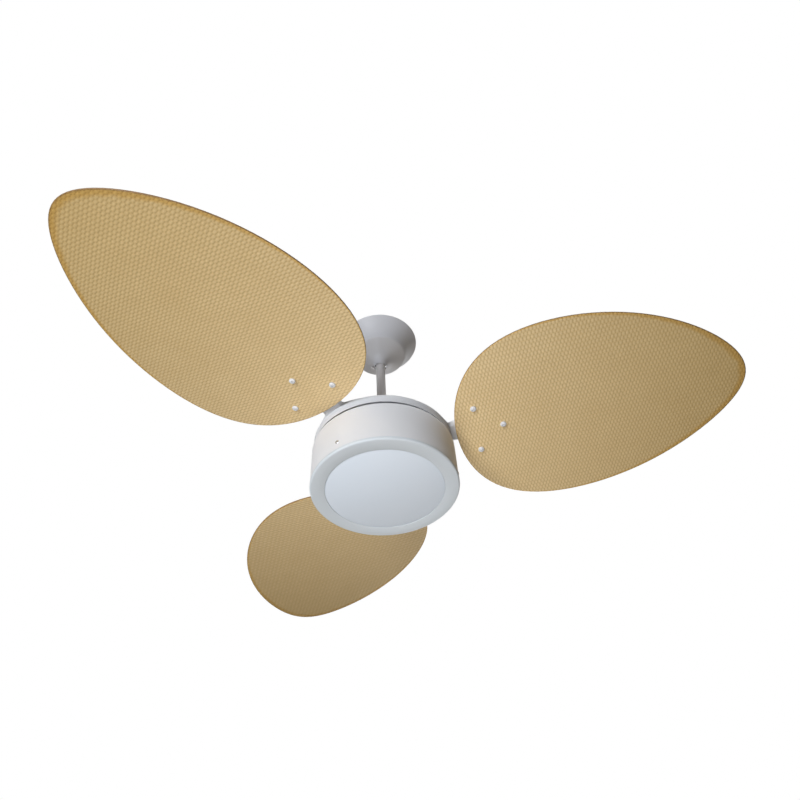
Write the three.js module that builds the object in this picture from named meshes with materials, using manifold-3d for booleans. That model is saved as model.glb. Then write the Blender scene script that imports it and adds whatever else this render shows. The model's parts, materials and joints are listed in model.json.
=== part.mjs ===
// A three-blade ceiling fan: an outer-rotor motor hangs from a downrod, carries three oval
// woven blades on pressed steel arms, and has a round flush light under its fixed drum.
// Millimetres, +Z up. The origin is on the ceiling, on the fan's axis, in the bracket's top face.
import * as THREE from "three";
import { mergeVertices } from "three/addons/utils/BufferGeometryUtils.js";
import Module from "manifold-3d";

const wasm = await Module();
wasm.setup();

// ---------------------------------------------------------------- driving dimensions
const FIT = 0.3; // clearance between pieces that touch on the real fan

// Heights, measured down from the ceiling.
const CANOPY_RIM = -4;
const HANGER_AXIS = -30;
const SHOULDER = -39;
const CANOPY_BASE = -71;
const COUPLING_TOP = -203;
const ROD_END = -226;
const COUPLING_BASE = -242;
const COVER_TOP = -266.6;
const COVER_EDGE = -280.3;
const DRUM_TOP = -286.6;
const DRUM_SCREW_LEVEL = -341;
const DRUM_EDGE = -354;
const LIGHT_FACE = -359.3;

// Radii of what shows.
const CANOPY_R = 67.7;
const SHOULDER_R = 44.6;
const NECK_R = 9.8;
const ROD_R = 8;
const COVER_R = 108.2;
const DRUM_R = 110.5;
const LIGHT_R = 112.5;
const LENS_R = 89.8;

// Sheet thicknesses.
const CANOPY_WALL = 1.2;
const ROD_WALL = 1.5;
const SHELL_WALL = 1.8;
const DRUM_WALL = 1.5;
const BRACKET_SHEET = 2.5;
const ARM_SHEET = 2.2;
const BLADE_SHEET = 3;

const PRESS_BEND = 1.5; // round edge of the cover and of the drum

// Blades: pitch and rise are the tilt of each blade about its own long axis and up to its tip.
const BLADE_COUNT = 3;
const FIRST_BLADE = THREE.MathUtils.degToRad(-11.643);
const BLADE_PITCH = THREE.MathUtils.degToRad(-8.026);
const BLADE_RISE = THREE.MathUtils.degToRad(2.212);
const BLADE_LEVEL = -273.4; // where a blade's underside would meet the fan's axis
const BLADE_MIDDLE = 342.4;
const BLADE_HALF_LENGTH = 224.4;
const BLADE_HALF_WIDTH = [160.6, -36.6, 5.2, -16.8]; // falls off from root to tip as a cubic
const BLADE_SCREWS = [[151.3, 40.8], [151.3, -40.8], [192.7, 0]];
const HEAD_R = 4.8;

// Motor.
const SHAFT_TOP = -227;
const SHAFT_BASE = -338;
const SHAFT_BORE = 4;
const SHAFT_R = 7.2;
const SEAT_R = 10;
const UPPER_SHOULDER = -258;
const LOWER_SHOULDER = -313;
const BEARING_WIDTH = 10.9;
const BEARING_R = 17.5;
const HOUSING_R = 20; // outside of the hub that holds the upper bearing
const HOUSING_TOP = -244.5;
const HUB_LIP_R = 12.5;
const CORE_R = 56;
const CORE_TOP = -282;
const CORE_BASE = -302;
const TOOTH_COUNT = 12;
const TOOTH_HALF = 4.4;
const SLOT_BOTTOM = 34;
const SLOT_TOP = 52;
const CUP_R = 70; // inside of the lower shell's wall
const FLANGE_R = 82;

// ---------------------------------------------------------------- finishes
const whitePaint = { color: 0xdcdcdf, roughness: 0.42, metalness: 0 };
const greyPaint = { color: 0xb4b3b7, roughness: 0.42, metalness: 0 };
const satinWhite = { color: 0xc9cdd2, roughness: 0.5, metalness: 0 };
const frosted = { color: 0xc3cad4, roughness: 0.65, metalness: 0 };
const wovenCane = { color: 0xb89a66, roughness: 0.8, metalness: 0 };
const zincSteel = { color: 0xa9abae, roughness: 0.38, metalness: 0.9 };
const brightSteel = { color: 0xc4c6c9, roughness: 0.25, metalness: 1 };
const coreSteel = { color: 0x6e7074, roughness: 0.55, metalness: 0.8 };
const castAlloy = { color: 0xb4b6b8, roughness: 0.5, metalness: 0.9 };
const enamelWire = { color: 0xa4552a, roughness: 0.35, metalness: 0.6 };
const blackRubber = { color: 0x1d1d1f, roughness: 0.85, metalness: 0 };
const clearAcrylic = { color: 0xe6ecef, roughness: 0.1, metalness: 0 };
const blackPlastic = { color: 0x242528, roughness: 0.6, metalness: 0 };
const whitePlastic = { color: 0xe4e4e2, roughness: 0.45, metalness: 0 };

// ---------------------------------------------------------------- tools of the drawing board
const fan = new THREE.Group();

function add(name, geometry, finish, parent = fan) {
  const piece = new THREE.Mesh(geometry, new THREE.MeshStandardMaterial(finish));
  piece.name = name;
  parent.add(piece);
  return piece;
}

function solid(geometry) {
  const bare = geometry.index ? geometry.toNonIndexed() : geometry.clone();
  bare.deleteAttribute("normal");
  bare.deleteAttribute("uv");
  const merged = mergeVertices(bare, 1e-4);
  const vertProperties = merged.attributes.position.array;
  const triVerts = new Uint32Array(merged.index.array);
  return new wasm.Manifold(new wasm.Mesh({ numProp: 3, vertProperties, triVerts }));
}

function geometryOf(body) {
  const mesh = body.getMesh();
  const geometry = new THREE.BufferGeometry();
  const points = new THREE.BufferAttribute(new Float32Array(mesh.vertProperties), 3);
  geometry.setAttribute("position", points);
  geometry.setIndex(new THREE.BufferAttribute(new Uint32Array(mesh.triVerts), 1));
  return geometry;
}

function cut(body, tools) {
  return geometryOf(tools.reduce((rest, tool) => rest.subtract(solid(tool)), solid(body)));
}

function join(first, ...others) {
  return geometryOf(others.reduce((sum, other) => sum.add(solid(other)), solid(first)));
}

const area = (points) =>
  points.reduce((sum, [x, y], i) => {
    const [nextX, nextY] = points[(i + 1) % points.length];
    return sum + (x * nextY - nextX * y) / 2;
  }, 0);

// Turns a closed profile of [radius, height] points about the fan's axis.
function revolve(profile, segments = 40) {
  const ordered = area(profile) > 0 ? profile : [...profile].reverse();
  const onAxis = ordered.filter(([radius]) => radius === 0).length > 0;
  let loop = [...ordered, ordered[0]];
  if (onAxis) {
    // Start on the axis and end on it, so that no face lies along the axis itself.
    const start = ordered.findIndex(([radius], i) => {
      const previous = ordered[(i + ordered.length - 1) % ordered.length];
      return radius === 0 && previous[0] === 0;
    });
    loop = [...ordered.slice(start), ...ordered.slice(0, start)];
  }
  const points = loop.map(([radius, height]) => new THREE.Vector2(radius, height));
  return new THREE.LatheGeometry(points, segments).rotateX(Math.PI / 2);
}

const ring = (inner, outer, low, high, segments) =>
  revolve([[inner, low], [outer, low], [outer, high], [inner, high]], segments);

// A round bar or a hexagon along Z.
function bar(radius, low, high, sides = 12) {
  const shape = new THREE.CylinderGeometry(radius, radius, high - low, sides).rotateX(Math.PI / 2);
  return shape.translate(0, 0, (low + high) / 2);
}

function box(xs, ys, zs) {
  const shape = new THREE.BoxGeometry(xs[1] - xs[0], ys[1] - ys[0], zs[1] - zs[0]);
  return shape.translate((xs[0] + xs[1]) / 2, (ys[0] + ys[1]) / 2, (zs[0] + zs[1]) / 2);
}

function extrude(shape, low, high) {
  const options = { depth: high - low, bevelEnabled: false, curveSegments: 4 };
  return new THREE.ExtrudeGeometry(shape, options).translate(0, 0, low);
}

const polygon = (points) => new THREE.Shape(points.map(([x, y]) => new THREE.Vector2(x, y)));

// Points of an arc, angles in degrees.
function arc(centre, radius, from, to, steps) {
  return Array.from({ length: steps + 1 }, (_, i) => {
    const angle = THREE.MathUtils.degToRad(from + ((to - from) * i) / steps);
    return [centre[0] + radius * Math.cos(angle), centre[1] + radius * Math.sin(angle)];
  });
}

// The closed outline of a bent sheet: the path, and the same path moved over to its left.
function sheet(path, thickness) {
  const heading = (from, to) => Math.atan2(to[1] - from[1], to[0] - from[0]);
  const moved = path.map((point, i) => {
    const before = i > 0 ? heading(path[i - 1], point) : heading(point, path[i + 1]);
    const after = i < path.length - 1 ? heading(point, path[i + 1]) : before;
    const turn = Math.atan2(Math.sin(after - before), Math.cos(after - before));
    const normal = before + turn / 2 + Math.PI / 2;
    const reach = thickness / Math.cos(turn / 2);
    return [point[0] + reach * Math.cos(normal), point[1] + reach * Math.sin(normal)];
  });
  return [...path, ...moved.reverse()];
}

// Takes a shape drawn in X and Y and stands it up: X stays, Y becomes Z, and its depth runs along Y.
function standUp(geometry, depth) {
  return geometry.rotateX(Math.PI / 2).translate(0, depth / 2, 0);
}

const polar = (radius, angle) => [radius * Math.cos(angle), radius * Math.sin(angle)];

function slotShape(centre, length, width) {
  const reach = (length - width) / 2;
  const shape = new THREE.Shape();
  shape.absarc(centre + reach, 0, width / 2, -Math.PI / 2, Math.PI / 2, false);
  shape.absarc(centre - reach, 0, width / 2, Math.PI / 2, (Math.PI * 3) / 2, false);
  return shape;
}

function turned(angle, parent = fan) {
  const group = new THREE.Group();
  group.rotation.z = angle;
  parent.add(group);
  return group;
}

// ---------------------------------------------------------------- ceiling bracket
const PLATE_HALF = 46;
const TAB_HALF = 15;
const TAB_WIDTH = 26;
const EYE_R = 10;
const HANGER_HOLE = 3.2;

function hangerBracket() {
  const plate = slotShape(0, PLATE_HALF * 2, 24);
  plate.holes.push(slotShape(-37, 11, 5.5), slotShape(37, 11, 5.5));
  const bend = 3;
  const strap = sheet(
    [
      [TAB_HALF, -42],
      ...arc([TAB_HALF - bend, -bend], bend, 0, 90, 3),
      ...arc([bend - TAB_HALF, -bend], bend, 90, 180, 3),
      [-TAB_HALF, -42],
    ],
    BRACKET_SHEET,
  );
  // The strap is folded down over the plate's long sides; its tabs narrow to a round eye.
  const half = TAB_WIDTH / 2;
  const folded = extrude(polygon(strap), -half, half).rotateX(Math.PI / 2).rotateZ(Math.PI / 2);
  const eye = arc([0, HANGER_AXIS], EYE_R, 190, 350, 6);
  const front = polygon([[-half, 1], [-half, -6], ...eye, [half, -6], [half, 1]]);
  const trimmed = solid(folded).intersect(solid(standUp(extrude(front, -20, 20), 0)));
  const bolt = bar(HANGER_HOLE, -25, 25).rotateX(Math.PI / 2).translate(0, 0, HANGER_AXIS);
  const body = trimmed.add(solid(extrude(plate, -BRACKET_SHEET, 0))).subtract(solid(bolt));
  return geometryOf(body);
}

function terminalBlock() {
  const body = box([-29, -16], [-11, 11], [-BRACKET_SHEET - 12, -BRACKET_SHEET]);
  const wells = [-7, 0, 7].flatMap((y) => [
    bar(2.1, -20, -8, 8).translate(-22.5, y, 0),
    bar(1.4, -20, 20, 6).rotateY(Math.PI / 2).translate(-22.5, y, -7),
  ]);
  return cut(body, wells);
}

// A bolt or nut whose axis is Z is laid along Y, through the hanger's eye.
const onHanger = (geometry) => geometry.rotateX(Math.PI / 2).translate(0, 0, HANGER_AXIS);

add("hanger_bracket", hangerBracket(), zincSteel);
add("terminal_block", terminalBlock(), whitePlastic);
const hangerHead = join(bar(5.6, -19, -TAB_HALF - FIT, 6), bar(2.9, -TAB_HALF - 1, 22.5, 10));
add("hanger_bolt", onHanger(hangerHead), brightSteel);
const hangerNut = cut(bar(5.6, TAB_HALF + FIT, 20.3, 6), [bar(HANGER_HOLE, 10, 30)]);
add("hanger_nut", onHanger(hangerNut), brightSteel);

// ---------------------------------------------------------------- downrod and its ends
const BUSH_R = 4.3;
const bushHalf = (side) =>
  revolve([
    [HANGER_HOLE, 0.2], [BUSH_R, 0.2], [BUSH_R, ROD_R + 0.4], [8, ROD_R + 0.4],
    [8, TAB_HALF - BRACKET_SHEET - FIT], [HANGER_HOLE, TAB_HALF - BRACKET_SHEET - FIT],
  ], 16).rotateX(side > 0 ? Math.PI : 0);
add("hanger_bush_front", onHanger(bushHalf(-1)), blackRubber);
add("hanger_bush_back", onHanger(bushHalf(1)), blackRubber);

const COUPLING_BOLT = -214;
const across = (radius, level) =>
  bar(radius, -30, 30, 8).rotateY(Math.PI / 2).translate(0, 0, level);
const rodEye = onHanger(bar(BUSH_R + FIT, -20, 20, 12));
const rodTube = ring(ROD_R - ROD_WALL, ROD_R, ROD_END, HANGER_AXIS + 12, 20);
add("downrod", cut(rodTube, [rodEye, across(2.8, COUPLING_BOLT)]), greyPaint);

const couplingProfile = [
  [SHAFT_R + FIT, COUPLING_BASE], [13, COUPLING_BASE], [13, COUPLING_TOP - 2],
  [11.5, COUPLING_TOP], [ROD_R + FIT, COUPLING_TOP],
  [ROD_R + FIT, ROD_END - FIT], [SHAFT_R + FIT, ROD_END - FIT],
];
add("rod_coupling", cut(revolve(couplingProfile, 20), [across(2.8, COUPLING_BOLT)]), whitePaint);
const couplingBolt = join(bar(4.6, 13.3, 16.6, 6), bar(2.5, -13, 14, 8));
add("coupling_bolt", couplingBolt.rotateY(Math.PI / 2).translate(0, 0, COUPLING_BOLT), brightSteel);

// ---------------------------------------------------------------- canopy
// A flared skirt down to the crease of the shoulder, then a trumpet that closes round the rod.
function canopyProfile() {
  const point = (radius, height) => new THREE.Vector2(radius, height);
  const skirt = new THREE.QuadraticBezierCurve(
    point(CANOPY_R, CANOPY_RIM), point(CANOPY_R - 15, CANOPY_RIM - 14), point(SHOULDER_R, SHOULDER),
  );
  const trumpet = new THREE.CubicBezierCurve(
    point(SHOULDER_R, SHOULDER), point(SHOULDER_R - 14.6, SHOULDER - 8),
    point(NECK_R + 0.7, CANOPY_BASE + 19), point(NECK_R, CANOPY_BASE),
  );
  const path = [...skirt.getPoints(3), ...trumpet.getPoints(5).slice(1)].map(({ x, y }) => [x, y]);
  return sheet(path.reverse(), CANOPY_WALL);
}

// The screw that holds the canopy on the rod goes through the trumpet's wall.
const SET_SCREW = -59.5;
const SET_SCREW_ANGLE = THREE.MathUtils.degToRad(145);
const radial = (geometry) =>
  geometry.rotateY(Math.PI / 2).rotateZ(SET_SCREW_ANGLE).translate(0, 0, SET_SCREW);
add("canopy", cut(revolve(canopyProfile(), 36), [radial(bar(2, 8, 20, 12))]), whitePaint);
const setScrew = join(bar(2.7, 16.2, 18.6, 10), bar(1.6, ROD_R + FIT, 17, 8));
add("canopy_set_screw", radial(setScrew), brightSteel);

// A tapered rubber ring is wedged between the rod and the trumpet's narrow end.
const grommetProfile = [
  [ROD_R + FIT, -67], [8.7, -67], [10.1, -63], [10.1, -62.3], [ROD_R + FIT, -62.3],
];
add("canopy_grommet", revolve(grommetProfile, 20), blackRubber);

// ---------------------------------------------------------------- motor shaft and stator
const shaftProfile = [
  [SHAFT_BORE, SHAFT_BASE], [SHAFT_R, SHAFT_BASE], [SHAFT_R, LOWER_SHOULDER], [SEAT_R, LOWER_SHOULDER],
  [SEAT_R, UPPER_SHOULDER], [SHAFT_R, UPPER_SHOULDER], [SHAFT_R, SHAFT_TOP], [SHAFT_BORE, SHAFT_TOP],
];
// The leads leave the hollow shaft through a hole between the upper bearing and the core.
const wireHole = bar(2.4, 0, 20, 12).rotateY(Math.PI / 2).translate(0, 0, -270);
add("motor_shaft", cut(revolve(shaftProfile, 20), [wireHole]), brightSteel);

// Twelve parallel-sided teeth with shoes; the slots between them are open to the air gap.
function statorCore() {
  const step = (Math.PI * 2) / TOOTH_COUNT;
  const shoe = step / 2 - THREE.MathUtils.degToRad(1.2);
  const root = Math.asin(TOOTH_HALF / SLOT_BOTTOM);
  const tip = Math.asin(TOOTH_HALF / SLOT_TOP);
  const half = [[SLOT_BOTTOM, root], [SLOT_TOP, tip], [CORE_R - 2.5, shoe], [CORE_R, shoe]];
  const tooth = [
    ...half.map(([radius, angle]) => [radius, -angle]),
    ...[...half].reverse(),
  ];
  const outline = Array.from({ length: TOOTH_COUNT }, (_, i) =>
    tooth.map(([radius, angle]) => polar(radius, angle + i * step)),
  ).flat();
  const shape = polygon(outline);
  shape.holes.push(polygon(arc([0, 0], SEAT_R + FIT, 360, 15, 23)));
  return extrude(shape, CORE_BASE, CORE_TOP);
}

// The coils: one bundle in each slot, joined by the end turns above and below the core.
function windings() {
  const gap = 0.5;
  const turns = (near, far) => [
    [SLOT_BOTTOM - 1, near], [SLOT_TOP, near], [SLOT_TOP - 3, far], [SLOT_BOTTOM + 2, far],
  ];
  const step = (Math.PI * 2) / TOOTH_COUNT;
  const side = (radius) => step / 2 - Math.asin((TOOTH_HALF + gap) / radius);
  const [inner, outer] = [SLOT_BOTTOM + gap, SLOT_TOP - gap];
  const bundle = [
    polar(inner, -side(inner)), polar(outer, -side(outer)),
    polar(outer, side(outer)), polar(inner, side(inner)),
  ];
  const bundles = Array.from({ length: TOOTH_COUNT }, (_, i) =>
    extrude(polygon(bundle), CORE_BASE - 2, CORE_TOP + 2).rotateZ((i + 0.5) * step),
  );
  const top = revolve(turns(CORE_TOP + gap, CORE_TOP + 9.5), 12);
  const base = revolve(turns(CORE_BASE - gap, CORE_BASE - 7.5), 12);
  return join(top, base, ...bundles);
}

add("stator_core", statorCore(), coreSteel);
add("stator_windings", windings(), enamelWire);

function bearing(place, low, high) {
  add(place + "_bearing_inner_race", ring(SHAFT_R + 0.2, 10.3, low, high, 14), brightSteel);
  const shield = 0.8;
  const outer = [
    [11, low], [BEARING_R, low], [BEARING_R, high], [11, high],
    [11, high - shield], [14, high - shield], [14, low + shield], [11, low + shield],
  ];
  add(place + "_bearing_outer_race", revolve(outer, 16), brightSteel);
}
bearing("upper", UPPER_SHOULDER + 0.1, UPPER_SHOULDER + BEARING_WIDTH);
bearing("lower", LOWER_SHOULDER - BEARING_WIDTH, LOWER_SHOULDER - 0.1);

// ---------------------------------------------------------------- rotor
const bladeAngles = Array.from(
  { length: BLADE_COUNT },
  (_, i) => FIRST_BLADE + (i * Math.PI * 2) / BLADE_COUNT,
);
const ARM_SCREWS = [[88, 30], [88, -30]];
const CLAMP_SCREW_R = 76;
const CONE_R = 62;

function everyThird(tools, offset = 0) {
  return bladeAngles.flatMap((angle) => tools().map((tool) => tool.rotateZ(angle + offset)));
}

const screwHole = () => bar(2.3, -290, -250, 8);
const clampHoles = () => everyThird(() => [screwHole().translate(CLAMP_SCREW_R, 0, 0)], Math.PI / 3);

// Spun top cover: a flat shoulder for the arms, a cone with vents and a housing for the bearing.
function topCover() {
  const path = [
    [HUB_LIP_R, HOUSING_TOP], [HOUSING_R, HOUSING_TOP], [HOUSING_R, HOUSING_TOP - 8.5],
    [48, -257.5], [CONE_R, COVER_TOP],
    ...arc([COVER_R - PRESS_BEND, COVER_TOP - PRESS_BEND], PRESS_BEND, 90, 0, 1),
    [COVER_R, COVER_EDGE],
  ];
  const shell = revolve(sheet(path, -SHELL_WALL), 40);
  const screws = everyThird(() => ARM_SCREWS.map(([x, y]) => screwHole().translate(x, y, 0)));
  const vents = Array.from({ length: 6 }, (_, i) =>
    extrude(slotShape(35, 16, 7), -280, -240).rotateZ((i * Math.PI) / 3),
  );
  return cut(shell, [...screws, ...clampHoles(), ...vents]);
}

// Drawn steel cup under the top cover, which holds the cage and the lower bearing.
function rotorCup() {
  const flange = COVER_TOP - SHELL_WALL - FIT;
  const bend = 3;
  const path = [
    [FLANGE_R, flange], [CUP_R, flange],
    ...arc([CUP_R - bend, -309], bend, 0, -90, 1),
    [18, -314.5], [18, -324.5], [HUB_LIP_R, -324.5],
  ];
  const cup = revolve(sheet(path, SHELL_WALL), 28);
  return cut(cup, clampHoles());
}

function squirrelCage() {
  const [inner, outer] = [CORE_R + 0.5, CUP_R - FIT];
  const [low, high] = [CORE_BASE - 1, CORE_TOP + 1];
  const cast = 5;
  return revolve([
    [inner, low], [inner + 2.5, low], [inner + 2.5, low - cast], [outer - 3, low - cast],
    [outer, low], [outer, high], [outer - 3, high + cast], [inner + 2.5, high + cast],
    [inner + 2.5, high], [inner, high],
  ], 28);
}

add("motor_top_cover", topCover(), whitePaint);
add("motor_lower_shell", rotorCup(), zincSteel);
add("squirrel_cage", squirrelCage(), castAlloy);

// A screw with its head up: a low dome on a shank.
function panScrew(headR, headHeight, shankR, length, seat) {
  const dome = [
    [0, seat - length], [shankR, seat - length], [shankR, seat], [headR, seat],
    [headR * 0.6, seat + headHeight], [0, seat + headHeight],
  ];
  return revolve(dome, 8);
}

bladeAngles.forEach((angle, i) => {
  const clamp = panScrew(3.6, 2.4, 1.9, 10, COVER_TOP + FIT).translate(CLAMP_SCREW_R, 0, 0);
  add("clamp_screw_" + (i + 1), clamp, brightSteel, turned(angle + Math.PI / 3));
});

// ---------------------------------------------------------------- blade arms
// Each arm is one pressed strip: a wide foot on the cover, a narrow neck that steps and twists,
// two ears and a tongue on the blade. Its outline is a blend of these lobes.
const ARM_START = 66;
const ARM_END = 208;
const ARM_HALF = 19;
const ARM_LOBES = [
  { middle: 84, reach: 25, half: 53 },
  { middle: 152, reach: 17, half: 52 },
];
const NECK_FROM = 104;
const NECK_TO = 119;
const FLANGE_RISE = 3.5;

const ellipse = (x, middle, reach, half) =>
  half * Math.sqrt(Math.max(0, 1 - ((x - middle) / reach) ** 2));

function armHalfWidth(x) {
  const rounding = 12;
  const nose = ellipse(Math.max(x, ARM_END - rounding), ARM_END - rounding, rounding, ARM_HALF);
  const heel = ellipse(Math.min(x, ARM_START + 6), ARM_START + 6, 6, ARM_HALF);
  const strip = Math.max(Math.min(nose, heel), 3);
  const lobes = ARM_LOBES.map(({ middle, reach, half }) => ellipse(x, middle, reach, half));
  return [strip, ...lobes].reduce((sum, width) => sum + width ** 4, 0) ** 0.25;
}

// Height of a plane parallel to the blade's underside, lifted by so much along its normal.
function bladePlane(x, y, lift) {
  const normal = lift / (Math.cos(BLADE_RISE) * Math.cos(BLADE_PITCH));
  const slope = Math.tan(BLADE_PITCH) / Math.cos(BLADE_RISE);
  return BLADE_LEVEL + normal + x * Math.tan(BLADE_RISE) + y * slope;
}

function armHeight(x, y, side) {
  const blend = THREE.MathUtils.smoothstep(x, NECK_FROM, NECK_TO);
  const foot = COVER_TOP + FIT;
  const seat = bladePlane(x, y, BLADE_SHEET + FIT);
  const flanged = THREE.MathUtils.smoothstep(x, 103, 112) - THREE.MathUtils.smoothstep(x, 126, 138);
  const edge = Math.max(0, (Math.abs(side) - 0.75) / 0.25);
  return foot + (seat - foot) * blend + FLANGE_RISE * flanged * edge;
}

// Moves a shape drawn on a blade's underside to where the tilted blade hangs on its spoke.
const bladeTilt = new THREE.Euler(BLADE_PITCH, -BLADE_RISE, 0, "YXZ");
const onBlade = (geometry) =>
  geometry
    .applyMatrix4(new THREE.Matrix4().makeRotationFromEuler(bladeTilt))
    .translate(0, 0, BLADE_LEVEL);

function bladeArm() {
  const rows = 22;
  const sides = [-1, -0.75, 0, 0.75, 1];
  const points = [];
  for (let i = 0; i <= rows; i++) {
    const x = ARM_START + ((ARM_END - ARM_START) * i) / rows;
    for (const side of sides) {
      const y = armHalfWidth(x) * side;
      const z = armHeight(x, y, side);
      points.push([x, y, z], [x, y, z + ARM_SHEET]);
    }
  }
  const across = sides.length;
  const under = (i, j) => (i * across + j) * 2;
  const faces = [];
  const quad = (a, b, c, d) => faces.push(a, b, c, a, c, d);
  for (let i = 0; i < rows; i++) {
    for (let j = 0; j < across - 1; j++) {
      const [a, b, c, d] = [under(i, j), under(i + 1, j), under(i + 1, j + 1), under(i, j + 1)];
      quad(a + 1, b + 1, c + 1, d + 1);
      quad(a, d, c, b);
    }
    quad(under(i, 0), under(i + 1, 0), under(i + 1, 0) + 1, under(i, 0) + 1);
    const last = across - 1;
    quad(under(i + 1, last), under(i, last), under(i, last) + 1, under(i + 1, last) + 1);
  }
  for (let j = 0; j < across - 1; j++) {
    quad(under(0, j + 1), under(0, j), under(0, j) + 1, under(0, j + 1) + 1);
    quad(under(rows, j), under(rows, j + 1), under(rows, j + 1) + 1, under(rows, j) + 1);
  }
  const geometry = new THREE.BufferGeometry();
  geometry.setAttribute("position", new THREE.Float32BufferAttribute(points.flat(), 3));
  geometry.setIndex(faces);
  const footHoles = ARM_SCREWS.map(([x, y]) => screwHole().translate(x, y, 0));
  const bladeHoles = BLADE_SCREWS.map(([x, y]) => onBlade(bar(2.3, 0, 15, 8).translate(x, y, 0)));
  return cut(geometry, [...footHoles, ...bladeHoles]);
}

// ---------------------------------------------------------------- blades
// An egg-shaped board, widest near its root: the ellipse's half width is scaled by a cubic.
function bladeOutline() {
  const steps = 44;
  return Array.from({ length: steps }, (_, i) => {
    const angle = (i / steps) * Math.PI * 2;
    const along = Math.cos(angle);
    const [base, linear, square, cube] = BLADE_HALF_WIDTH;
    const width = base + linear * along + square * along ** 2 + cube * along ** 3;
    return [BLADE_MIDDLE + BLADE_HALF_LENGTH * along, width * Math.sin(angle)];
  });
}

function blade() {
  const board = extrude(polygon(bladeOutline()), 0, BLADE_SHEET);
  return cut(board, BLADE_SCREWS.map(([x, y]) => bar(2.3, -5, 10, 8).translate(x, y, 0)));
}

function bladeScrew() {
  const length = BLADE_SHEET + ARM_SHEET + 3;
  return panScrew(HEAD_R, 3.2, 1.9, length, 0).rotateX(Math.PI).translate(0, 0, -FIT);
}

bladeAngles.forEach((angle, i) => {
  const number = i + 1;
  const spoke = turned(angle);
  add("blade_arm_" + number, bladeArm(), whitePaint, spoke);
  ARM_SCREWS.forEach(([x, y], j) => {
    const seat = COVER_TOP + ARM_SHEET + FIT * 2;
    const screw = panScrew(3.6, 2.4, 1.9, 8, seat).translate(x, y, 0);
    add("arm_screw_" + number + "ab"[j], screw, brightSteel, spoke);
  });
  const tilted = new THREE.Group();
  tilted.position.z = BLADE_LEVEL;
  tilted.rotation.copy(bladeTilt);
  spoke.add(tilted);
  add("blade_" + number, blade(), wovenCane, tilted);
  BLADE_SCREWS.forEach(([x, y], j) => {
    add("blade_screw_" + number + "abc"[j], bladeScrew().translate(x, y, 0), whitePaint, tilted);
  });
});

// ---------------------------------------------------------------- fixed drum and light carrier
const FIRST_DRUM_SCREW = THREE.MathUtils.degToRad(233.9);
const drumScrewAngles = [0, 1, 2].map((i) => FIRST_DRUM_SCREW + (i * Math.PI * 2) / 3);
const CARRIER_TOP = -327;
const CARRIER_BASE = CARRIER_TOP - BRACKET_SHEET;
const TAB_FACE = 107.8;

const radialHole = (radius, from, to) => bar(radius, from, to, 8).rotateY(Math.PI / 2);
const drumHoles = () =>
  drumScrewAngles.map((angle) =>
    radialHole(2, 95, 120).translate(0, 0, DRUM_SCREW_LEVEL).rotateZ(angle),
  );

function drum() {
  const path = [
    [DRUM_R, DRUM_EDGE],
    ...arc([DRUM_R - PRESS_BEND, DRUM_TOP - PRESS_BEND], PRESS_BEND, 0, 90, 1),
    [86, DRUM_TOP],
  ];
  return cut(revolve(sheet(path, DRUM_WALL), 40), drumHoles());
}

// A spider of three legs on the shaft's lower end; its turned-down tabs hold the drum.
function lightCarrier() {
  const hub = revolve([
    [SHAFT_R + FIT, CARRIER_BASE], [26, CARRIER_BASE], [26, CARRIER_TOP], [10.2, CARRIER_TOP],
    [10.2, -324.3], [SHAFT_R + FIT, -324.3],
  ], 24);
  const bend = 3.5;
  const path = [
    [18, CARRIER_TOP],
    ...arc([TAB_FACE - bend, CARRIER_TOP - bend], bend, 90, 0, 2),
    [TAB_FACE, DRUM_SCREW_LEVEL - 3.4],
  ];
  const legs = drumScrewAngles.map((angle) => {
    const leg = standUp(extrude(polygon(sheet(path, -BRACKET_SHEET)), 0, 22), 22);
    return cut(leg, [extrude(slotShape(62, 36, 9), -340, -320)]).rotateZ(angle);
  });
  return cut(join(hub, ...legs), drumHoles());
}

add("drum_housing", drum(), whitePaint);
add("light_carrier", lightCarrier(), zincSteel);
const nutBlank = bar(12.4, CARRIER_BASE - 6.3, CARRIER_BASE - FIT, 6);
add("shaft_nut", cut(nutBlank, [bar(SHAFT_R + FIT, -340, -320, 20)]), brightSteel);
drumScrewAngles.forEach((angle, i) => {
  const screw = panScrew(3.3, 2.1, 1.6, 8, DRUM_R + FIT).rotateY(Math.PI / 2);
  add("drum_screw_" + (i + 1), screw.translate(0, 0, DRUM_SCREW_LEVEL), brightSteel, turned(angle));
});

// ---------------------------------------------------------------- light under the drum
const FLOOR = -357.3; // inner face of the light frame's rim
const RIB_TOP = -351.6;
const PLATE_LOW = RIB_TOP + FIT;
const PLATE_HIGH = PLATE_LOW + 1.2;

function lightFrame() {
  const round = 3;
  return revolve([
    [LENS_R + 0.4, LIGHT_FACE],
    ...arc([LIGHT_R - round, LIGHT_FACE + round], round, -90, 0, 2),
    [LIGHT_R, DRUM_EDGE - FIT], [108.6, DRUM_EDGE - FIT], [108.6, -345], [107, -345],
    [107, FLOOR], [LENS_R + 0.4, FLOOR],
  ], 40);
}

function ledStrip() {
  const strip = ring(94.6, 95.8, FLOOR + FIT, -352.2, 36);
  const chips = Array.from({ length: 9 }, (_, i) =>
    box([93.6, 94.9], [-3, 3], [-356.2, -353]).rotateZ((i * Math.PI * 2) / 9),
  );
  return join(strip, ...chips);
}

const diffuser = [
  [0, LIGHT_FACE + 0.4], [LENS_R, LIGHT_FACE + 0.4], [LENS_R, FLOOR + FIT],
  [93.3, FLOOR + FIT], [93.3, -355.6], [0, -355.6],
];
add("light_frame", lightFrame(), satinWhite);
add("light_diffuser", revolve(diffuser, 40), frosted);
add("light_guide", bar(92.8, -355.3, -352.6, 48), clearAcrylic);
add("led_strip", ledStrip(), whitePlastic);
add("light_back_plate", ring(14, 106.5, PLATE_LOW, PLATE_HIGH, 40), zincSteel);

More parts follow.
